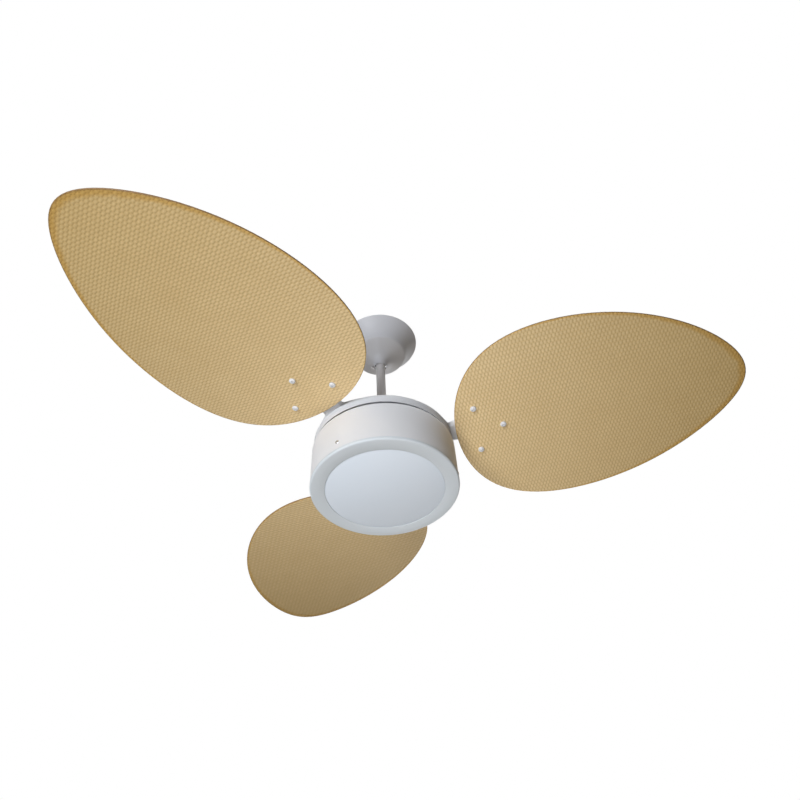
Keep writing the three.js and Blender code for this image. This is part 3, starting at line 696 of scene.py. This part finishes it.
# %% Rod
ROD_TOP, ROD_END = -18, -226
HANGER_AXIS = -30
BORE_R = ROD_R - ROD_WALL
ON_HANGER = shift(0, 0, HANGER_AXIS) @ turn(90, "X")
bm = spun([(ROD_R, ROD_TOP), (ROD_R, ROD_END), (BORE_R, ROD_END), (BORE_R, ROD_TOP)], 64)
soften(bm, 0.3)
bm = carved(bm, moved(prism(32, 4.6, -20, 20), ON_HANGER))
piece("hanging_rod", bm, lit_rod_paint, "stator", "downrod")

# %% Sleeve and its bolt
SLEEVE_R, SLEEVE_TOP, SLEEVE_END = 13, -203, -242
SHAFT_HOLE_R, ROD_SEAT, BOLT_LEVEL = 7.5, -226.3, -214
COUPLING_BOLT = shift(0, 0, BOLT_LEVEL) @ turn(90, "Y")
sleeve = [
    (SHAFT_HOLE_R, SLEEVE_END), (SLEEVE_R, SLEEVE_END), (SLEEVE_R, SLEEVE_TOP - 2),
    (SLEEVE_R - 1.5, SLEEVE_TOP), (ROD_R + FIT, SLEEVE_TOP), (ROD_R + FIT, ROD_SEAT),
    (SHAFT_HOLE_R, ROD_SEAT),
]
bm = spun(sleeve, 64)
soften(bm, 0.5, 25)
bm = carved(bm, moved(prism(24, 2.8, -20, 20), COUPLING_BOLT))
piece("rod_sleeve", bm, white_paint, "stator", "rod_coupling")
bolt = carved(hexagon(4.6, 13.3, 16.6), spun(threaded(2.5, -13, 13.8), 20), "UNION")
piece("coupling_hex_bolt", moved(bolt, COUPLING_BOLT), bright_steel, "stator", "coupling_bolt")

# %% [markdown]
# ## Hanger bracket
# A strap is folded down on both long sides of the ceiling plate, and its tabs end in round
# eyes. The bolt lies in the eyes and carries the rod between two rubber bushes. The strap is
# the common part of two prisms: its bent section seen from the end, and its outline seen from
# the front. All of this hides inside the bell, and shows only from above or when the canopy
# is let down the rod.

# %% Bracket
SHEET, TAB, TAB_HALF, EYE_R = 2.5, 15, 13, 10
BEND_R = 3
PLATE_HALF, SLOT_AT, SLOT_R = 34, 37, 2.75


def drawn(points, low, high):
    """A prism along Z over a drawn outline in millimetres."""
    bm = bmesh.new()
    bm.faces.new([bm.verts.new((x * MM, y * MM, low * MM)) for x, y in points])
    return thickened(bm, high - low)


fold = [
    (-TAB, -42), *corner((BEND_R - TAB, -BEND_R), BEND_R, 180, 90, 7),
    *corner((TAB - BEND_R, -BEND_R), BEND_R, 90, 0, 7), (TAB, -42),
]
strap = moved(drawn(walled(fold, -SHEET), -TAB_HALF, TAB_HALF), turn(90) @ turn(90, "X"))
eye = corner((0, HANGER_AXIS), EYE_R, 190, 350, 17)
front = drawn([(-TAB_HALF, 1), (-TAB_HALF, -6), *eye, (TAB_HALF, -6), (TAB_HALF, 1)], -20, 20)
strap = carved(strap, moved(front, turn(90, "X")), "INTERSECT")
plate = prism(48, 12, -SHEET, 0, reach=PLATE_HALF)
slot = prism(24, SLOT_R, -10, 10, reach=SLOT_R)
slots = [copied(slot, shift(x, 0, 0)) for x in (-SLOT_AT, SLOT_AT)]
slot.free()
hole = moved(prism(32, 3.2, -30, 30), ON_HANGER)
bracket = carved(carved(strap, plate, "UNION"), merged(hole, *slots))
soften(bracket, 0.35, 40)
piece("folded_bracket", bracket, zinc_steel, "ceiling_mount", "hanger_bracket")

# %% Bolt, nut and bushes
bolt = carved(hexagon(5.6, -19, -15.3), spun(threaded(2.9, -15.4, 22.5), 24), "UNION")
piece("hanger_hex_bolt", moved(bolt, ON_HANGER), bright_steel, "ceiling_mount", "hanger_bolt")
nut = carved(hexagon(5.6, 15.3, 20.3), prism(24, 3.2, 10, 30))
piece("hanger_hex_nut", moved(nut, ON_HANGER), bright_steel, "ceiling_mount", "hanger_nut")
BUSH_HOLE_R, COLLAR_R, FLANGE_R = 3.2, 4.3, 8
bush = [
    (BUSH_HOLE_R, 0.2), (COLLAR_R, 0.2), (COLLAR_R, 8.4), (FLANGE_R, 8.4), (FLANGE_R, 12.2),
    (BUSH_HOLE_R, 12.2),
]
for side, end in (("front", 0), ("back", 180)):
    bm = spun(bush, 40)
    soften(bm, 0.3)
    bm = moved(bm, ON_HANGER @ turn(end, "X"))
    piece(f"rubber_bush_{side}", bm, black_rubber, "stator", f"hanger_bush_{side}")

# %% Terminal block
BLOCK_AT, WIRE_PITCH = -22.5, 7
body = block(13, 22, 12, (BLOCK_AT, 0, -8.5))
soften(body, 0.8, 30, 3)
grooves = [block(14, 1.2, 7, (BLOCK_AT, y, -14)) for y in (-WIRE_PITCH / 2, WIRE_PITCH / 2)]
wells, entries = [], []
for y in (-WIRE_PITCH, 0, WIRE_PITCH):
    wells.append(moved(prism(24, 2.1, -20, -9), shift(BLOCK_AT, y, 0)))
    entries.append(moved(prism(16, 1.4, -20, 20), shift(BLOCK_AT, y, -7) @ turn(90, "Y")))
body = carved(body, merged(*grooves, *wells))
body = carved(body, merged(*entries))
piece("mains_terminal_block", body, white_plastic, "ceiling_mount", "terminal_block")

# %% [markdown]
# ## Turning cover and fixed drum
# Two white shells meet at a narrow shaded groove. The upper one turns with the blades; the
# lower one stands still and is a little wider. Both are drawn from sheet, so their shoulders
# have the small round bend that a press leaves. A shelf inside the upper one's rim, as thick
# as its wall, closes the view into the motor, so the groove is a shaded step and not a black
# slot.

# %% Turning cover
COVER_R, COVER_TOP, COVER_EDGE = 108.2, -266.6, -280.3
BEARING_HOLE_R, HOUSING_R, HOUSING_TOP = 12.5, 20, -244.5
SHELL_WALL, BEND = 1.8, 1.5
SHELF_R, SHELF = 99, -278.6
VENTS, VENTS_R = 6, 35
cover_path = [
    (BEARING_HOLE_R, HOUSING_TOP), (HOUSING_R, HOUSING_TOP), (HOUSING_R, -253), (48, -257.5),
    (62, COVER_TOP),
    *corner((COVER_R - BEND, COVER_TOP - BEND), BEND, 90, 0), (COVER_R, COVER_EDGE),
]
cover_outline = walled(cover_path, SHELL_WALL)
inner_edge = len(cover_path) + 1
INSIDE_R = COVER_R - SHELL_WALL
cover_outline[inner_edge:inner_edge] = [
    (INSIDE_R, SHELF), (SHELF_R, SHELF),
    (SHELF_R, SHELF + SHELL_WALL), (INSIDE_R, SHELF + SHELL_WALL),
]
bm = spun(cover_outline)
soften(bm, 0.5, 25)
vent = prism(32, 3.5, -280, -240, reach=4.5)
vents = [copied(vent, turn(360 / VENTS * i) @ shift(VENTS_R, 0, 0)) for i in range(VENTS)]
vent.free()
bm = carved(bm, merged(*vents))
soften(bm, 0.3, 50)
piece("turning_cover", bm, white_paint, "rotor", "motor_top_cover")

# %% Fixed drum
DRUM_R, DRUM_TOP, DRUM_EDGE = 110.5, -286.6, -354
DRUM_MOUTH_R, DRUM_WALL = 86, 1.5
drum_path = [
    (DRUM_MOUTH_R, DRUM_TOP), *corner((DRUM_R - BEND, DRUM_TOP - BEND), BEND, 90, 0),
    (DRUM_R, DRUM_EDGE),
]
bm = spun(walled(drum_path, DRUM_WALL))
soften(bm, 0.4, 40)
piece("fixed_drum", bm, white_paint, "stator", "drum_housing")

# %% [markdown]
# ## Light ring and lens
# The ring is a moulding that snaps into the drum's mouth, with a rounded outer edge that
# stands out a little past the drum. The lens is let into it, and the fine gap between the
# two draws the circle that is seen from below.

# %% Light ring and lens
LIGHT_R, LIGHT_FACE, LENS_R = 112.5, -359.3, 89.8
LIGHT_STEPS = 128
ROUND, GAP = 3, 0.4
COLLAR_OUT, COLLAR_IN, COLLAR_TOP = 108.6, 107, -345
RING_BACK = LIGHT_FACE + 2
LENS_SEAT, LENS_BACK, LENS_EDGE_R = -357, -355.6, 93.3
ring_outline = [
    (LENS_R + GAP, LIGHT_FACE), *corner((LIGHT_R - ROUND, LIGHT_FACE + ROUND), ROUND, -90, 0, 9),
    (LIGHT_R, DRUM_EDGE - FIT), (COLLAR_OUT, DRUM_EDGE - FIT), (COLLAR_OUT, COLLAR_TOP),
    (COLLAR_IN, COLLAR_TOP), (COLLAR_IN, RING_BACK), (LENS_R + GAP, RING_BACK),
]
bm = spun(ring_outline, LIGHT_STEPS)
soften(bm, 0.3, 40)
piece("light_ring", bm, satin_white, "stator", "light_frame")
lens_outline = [
    (0, LIGHT_FACE + GAP), (LENS_R, LIGHT_FACE + GAP), (LENS_R, LENS_SEAT),
    (LENS_EDGE_R, LENS_SEAT), (LENS_EDGE_R, LENS_BACK), (0, LENS_BACK),
]
bm = spun(lens_outline, LIGHT_STEPS)
soften(bm, 0.4, 40)
piece("light_lens", bm, frosted_lens, "stator", "light_diffuser")

# %% [markdown]
# ## Where a blade sits
# All three blades are one shape. It is drawn on a flat board, with X along the blade from
# the fan's axis and the underside at height 0. Then it is tilted about its long axis, raised
# a little towards its tip and turned to its own spoke. The blade's arm stands upright on the
# cover, so it takes only the last turn.

# %% Spokes
BLADE_PITCH, BLADE_RISE = math.radians(-8.026), math.radians(2.212)
BLADE_LEVEL = -273.4
FIRST_SPOKE = -11.643
spokes = [turn(FIRST_SPOKE + 120 * i) for i in range(3)]
leaning = Matrix.Rotation(-BLADE_RISE, 4, "Y") @ Matrix.Rotation(BLADE_PITCH, 4, "X")
tilt = shift(0, 0, BLADE_LEVEL) @ leaning
print("spokes at", [round(FIRST_SPOKE + 120 * i, 1) for i in range(3)], "degrees")

# %% [markdown]
# ## Blade board
# The outline is an egg: wide near the arm and drawn out towards the tip. A circle of
# vertices is pulled into it. Each one keeps its place along the blade, and its distance from
# the middle line is scaled by a cubic that falls from root to tip. The disc is then
# extruded to the board's thickness and its two rims are rounded.

# %% Board
BLADE_MIDDLE, BLADE_HALF = 342.4, 224.4
BLADE_WIDTHS = (160.6, -36.6, 5.2, -16.8)
RIM_STEPS = 96
BOARD_LOW, BOARD_HIGH = 0.35, 2.65


def egg(angle):
    along = math.cos(angle)
    half = sum(part * along**power for power, part in enumerate(BLADE_WIDTHS))
    return Vector((BLADE_MIDDLE + BLADE_HALF * along, half * math.sin(angle)))


bm = bmesh.new()
bmesh.ops.create_circle(bm, cap_ends=True, radius=1, segments=RIM_STEPS)
for vert in bm.verts:
    vert.co = (*egg(math.atan2(vert.co.y, vert.co.x)) * MM, BOARD_LOW * MM)
outline = [vert.co.xy.copy() for vert in bm.verts]
board = thickened(bm, BOARD_HIGH - BOARD_LOW)
soften(board, 0.6, 60, 3)
print("blade board:", RIM_STEPS, "points round an egg of", 2 * BLADE_HALF, "mm")

# %% [markdown]
# ## Woven sheet
# A grid gets two rows of vertices to each strip and four to each strand, so that a vertex
# falls on every crown and in every gap. It is turned by the few degrees that the real weave
# is off the blade's axis, trimmed to the outline with one straight cut for each of the egg's
# short sides, and only then lifted into relief. The relief dies out over the last
# millimetres, where the varnish fills it. A short skirt closes the sheet against the board.

# %% Weave the sheet
WEAVE_TURN = -3.3
SHEET_INSET = 0.35
SPARE_X, SPARE_Y = 12, 22
half_x = BLADE_HALF + SPARE_X
half_y = max(abs(point.y) for point in outline) / MM + SPARE_Y
columns = 2 * round(half_x / STRIP)
rows = 4 * round(half_y / STRAND)
bm = bmesh.new()
bmesh.ops.create_grid(bm, x_segments=2 * columns, y_segments=2 * rows, size=1)
bmesh.ops.scale(bm, verts=bm.verts, vec=(columns * STRIP / 2 * MM, rows * STRAND / 4 * MM, 1))
strands = bm.loops.layers.uv.new("strands")
for face in bm.faces:
    for loop in face.loops:
        loop[strands].uv = (loop.vert.co.x / (STRIP * MM), loop.vert.co.y / (STRAND * MM))
on_blade = shift(BLADE_MIDDLE, 0, 0) @ turn(WEAVE_TURN)
moved(bm, on_blade)
centre = Vector((BLADE_MIDDLE * MM, 0))
for here, there in zip(outline, outline[1:] + outline[:1]):
    away = (there - here).orthogonal().normalized()
    away = away if away.dot(here - centre) > 0 else -away
    bmesh.ops.bisect_plane(
        bm, geom=bm.verts[:] + bm.edges[:] + bm.faces[:], dist=1e-7,
        plane_co=(*(here - away * SHEET_INSET * MM), 0), plane_no=(*away, 0), clear_outer=True,
    )
print("woven sheet:", len(bm.faces), "faces after trimming")

# %% Lift the relief and mark the rim
BAND_ROOT, BAND_TIP, FADE = 1.5, 12, 2.5
SKIRT = -0.5
FINE_STEPS = 8 * RIM_STEPS
rim_points = KDTree(FINE_STEPS)
for i in range(FINE_STEPS):
    rim_points.insert((*egg(math.tau * i / FINE_STEPS) * MM, 0), i)
rim_points.balance()
rim_layer = bm.verts.layers.float.new("rim")
off_blade = on_blade.inverted()
for vert in bm.verts:
    distance = rim_points.find(vert.co)[2]
    outwards = max(0, (vert.co.x / MM - BLADE_MIDDLE + BLADE_HALF) / (2 * BLADE_HALF))
    flat = off_blade @ vert.co
    strip, strand = math.pi * flat.x / (STRIP * MM), math.pi * flat.y / (STRAND * MM)
    lift = CHEQUER * math.cos(strip) * math.cos(strand) + RIDGE * math.cos(2 * strand)
    vert[rim_layer] = distance / ((BAND_ROOT + (BAND_TIP - BAND_ROOT) * outwards**2) * MM)
    vert.co.z = lift * MM * min(1, distance / (FADE * MM))
border = [e for e in bm.edges if e.is_boundary]
skirt_parts = bmesh.ops.extrude_edge_only(bm, edges=border)["geom"]
for part in skirt_parts:
    if isinstance(part, bmesh.types.BMVert):
        part.co.z = SKIRT * MM
bmesh.ops.holes_fill(bm, edges=[e for e in bm.edges if e.is_boundary], sides=0)
bmesh.ops.recalc_face_normals(bm, faces=bm.faces)
print("relief lifted; sheet has", len(bm.verts), "vertices")

# %% Place boards and sheets
SHEET_LIFT = 0.25
sheet_over = copied(bm, shift(0, 0, BOARD_HIGH + SHEET_LIFT))
sheet_under = copied(bm, shift(0, 0, BOARD_LOW - SHEET_LIFT) @ Matrix.Scale(-1, 4, UP))
bmesh.ops.reverse_faces(sheet_under, faces=sheet_under.faces)
bm.free()
for number, spoke in enumerate(spokes, 1):
    placed = spoke @ tilt
    made = copied(board, placed)
    piece(f"blade_board_{number}", made, cane_edge, "rotor", f"blade_{number}", crease=60)
    for side, sheet in (("under", sheet_under), ("over", sheet_over)):
        piece(f"woven_{side}_{number}", copied(sheet, placed), woven_cane, "rotor", crease=180)
for spare in (board, sheet_under, sheet_over):
    spare.free()

# %% [markdown]
# ## Pressed blade arms
# One strip of steel makes an arm. It has a wide foot on the cover, a narrow neck that bends
# and twists into the blade's plane, and two ears and a tongue under which the blade is
# screwed. A flat grid is pressed the same way: its rows spread to the strip's width, and
# its height blends from the cover's level to the blade's plane. Then it gets its thickness.

# %% Arm outline
ARM_START, ARM_END, ARM_SHEET = 66, 208, 2.2
ARM_HALF, NECK_HALF = 19, 3
NOSE, HEEL = 12, 6
LOBES = ((84, 25, 53), (152, 17, 52))


def swell(x, middle, reach, half):
    return half * math.sqrt(max(0, 1 - ((x - middle) / reach) ** 2))


def arm_half_width(x):
    """The strip's half width, with its round ends, and the foot and the ears blended in."""
    nose = swell(max(x, ARM_END - NOSE), ARM_END - NOSE, NOSE, ARM_HALF)
    heel = swell(min(x, ARM_START + HEEL), ARM_START + HEEL, HEEL, ARM_HALF)
    parts = [max(min(nose, heel), NECK_HALF)] + [swell(x, *lobe) for lobe in LOBES]
    return sum(part**4 for part in parts) ** 0.25


print("arm: foot", round(2 * arm_half_width(LOBES[0][0])), "mm wide")

# %% Arm height
BLADE_SHEET = 3
BLEND = (104, 119)
FLANGE_RISE, FLANGE_SHARE = 3.5, 0.25
FLANGE_STARTS, FLANGE_ENDS = (103, 112), (126, 138)


def ease(x, start, end):
    share = min(1, max(0, (x - start) / (end - start)))
    return share * share * (3 - 2 * share)


def arm_height(x, y, side):
    """Blends the cover's level into the blade's plane, with the neck's two edges turned up."""
    rise, pitch = math.tan(BLADE_RISE), math.tan(BLADE_PITCH)
    lift = (BLADE_SHEET + FIT) / (math.cos(BLADE_RISE) * math.cos(BLADE_PITCH))
    seat = BLADE_LEVEL + lift + x * rise + y * pitch / math.cos(BLADE_RISE)
    foot = COVER_TOP + FIT
    outer = max(0, (abs(side) - 1 + FLANGE_SHARE) / FLANGE_SHARE)
    flange = (ease(x, *FLANGE_STARTS) - ease(x, *FLANGE_ENDS)) * outer
    return foot + (seat - foot) * ease(x, *BLEND) + FLANGE_RISE * flange


print("arm: foot at", COVER_TOP + FIT, "and blade end at", round(arm_height(ARM_END, 0, 0), 1))

# %% Press the arms
ROWS, FILES = 68, 24
bm = bmesh.new()
bmesh.ops.create_grid(bm, x_segments=ROWS, y_segments=FILES, size=1)
for vert in bm.verts:
    x = ARM_START + (ARM_END - ARM_START) * (vert.co.x + 1) / 2
    side = vert.co.y
    y = arm_half_width(x) * side
    vert.co = Vector((x, y, arm_height(x, y, side))) * MM
bmesh.ops.recalc_face_normals(bm, faces=bm.faces)
if sum(face.normal.z for face in bm.faces) < 0:
    bmesh.ops.reverse_faces(bm, faces=bm.faces)
thickened(bm, ARM_SHEET)
soften(bm, 0.5, 60)
for number, spoke in enumerate(spokes, 1):
    made = copied(bm, spoke)
    piece(f"pressed_arm_{number}", made, white_paint, "rotor", f"blade_arm_{number}", crease=50)
bm.free()

# %% [markdown]
# ## Screws
# Three kinds of screw show: low white heads under the blades, and plain steel pan heads on
# the arms, on the cover and on the drum's wall. Every head is turned from a short outline,
# and a cross is sunk into it by a cutter made of two crossed bars.


# %% Screw helper
def screw(head_r, head_height, shank_r, length, cross_depth=1.1):
    """A screw along Z with its head up and its seat at height 0."""
    cap = curve(
        (head_r, 0.3 * head_height), (head_r, head_height * 0.75),
        (head_r * 0.65, head_height), (0, head_height), 9,
    )
    outline = [
        (0, -length), (shank_r * 0.6, -length), (shank_r, -length + 1),
        (shank_r, 0), (head_r, 0), *cap,
    ]
    bar = block(head_r * 1.05, head_r * 0.24, 2 * cross_depth, (0, 0, head_height))
    cross = merged(bar.copy(), moved(bar, turn(90)))
    return carved(spun(outline, 24), cross)


print("screw helper ready")


# %% Blade screws
BLADE_SCREWS = ((151.3, 40.8), (151.3, -40.8), (192.7, 0))
blade_screw = screw(4.8, 3.2, 1.9, BLADE_SHEET + ARM_SHEET + 3)
for number, spoke in enumerate(spokes, 1):
    for letter, (x, y) in zip("abc", BLADE_SCREWS):
        made = copied(blade_screw, spoke @ tilt @ shift(x, y, -FIT) @ turn(180, "X"))
        mark = f"screw_{number}{letter}"
        piece(f"white_{mark}", made, white_paint, "rotor", f"blade_{mark}")
blade_screw.free()

# %% Arm and cover screws
ARM_SCREWS = ((88, 30), (88, -30))
CLAMP_R = 76
pan_screw = screw(3.6, 2.4, 1.9, 8)
for number, spoke in enumerate(spokes, 1):
    for letter, (x, y) in zip("ab", ARM_SCREWS):
        made = copied(pan_screw, spoke @ shift(x, y, COVER_TOP + ARM_SHEET + FIT * 2))
        mark = f"screw_{number}{letter}"
        piece(f"foot_{mark}", made, bright_steel, "rotor", f"arm_{mark}")
    made = copied(pan_screw, spoke @ turn(60) @ shift(CLAMP_R, 0, COVER_TOP + FIT))
    piece(f"cover_screw_{number}", made, bright_steel, "rotor", f"clamp_screw_{number}")
pan_screw.free()

# %% Drum screws
DRUM_SCREW_TURN, DRUM_SCREW_LEVEL = 233.9, -341
wall_screw = screw(3.3, 2.1, 1.6, 8)
seat = shift(DRUM_R + FIT, 0, DRUM_SCREW_LEVEL) @ turn(90, "Y")
for i in range(3):
    made = copied(wall_screw, turn(DRUM_SCREW_TURN + 120 * i) @ seat)
    piece(f"wall_screw_{i + 1}", made, bright_steel, "stator", f"drum_screw_{i + 1}")
wall_screw.free()

# %% [markdown]
# ## Finishes for the frame's own pieces
# What is inside the fan keeps the frame's shape and gets its finish here. The record names
# a material slot for each subpart, so the finish is looked up by that slot.

# %% Dress the frame's nodes
for entry in frame["record"]["subparts"]:
    member = frame["nodes"][entry["node"]]
    member.data.materials.clear()
    member.data.materials.append(finishes[entry["material_slot"]])
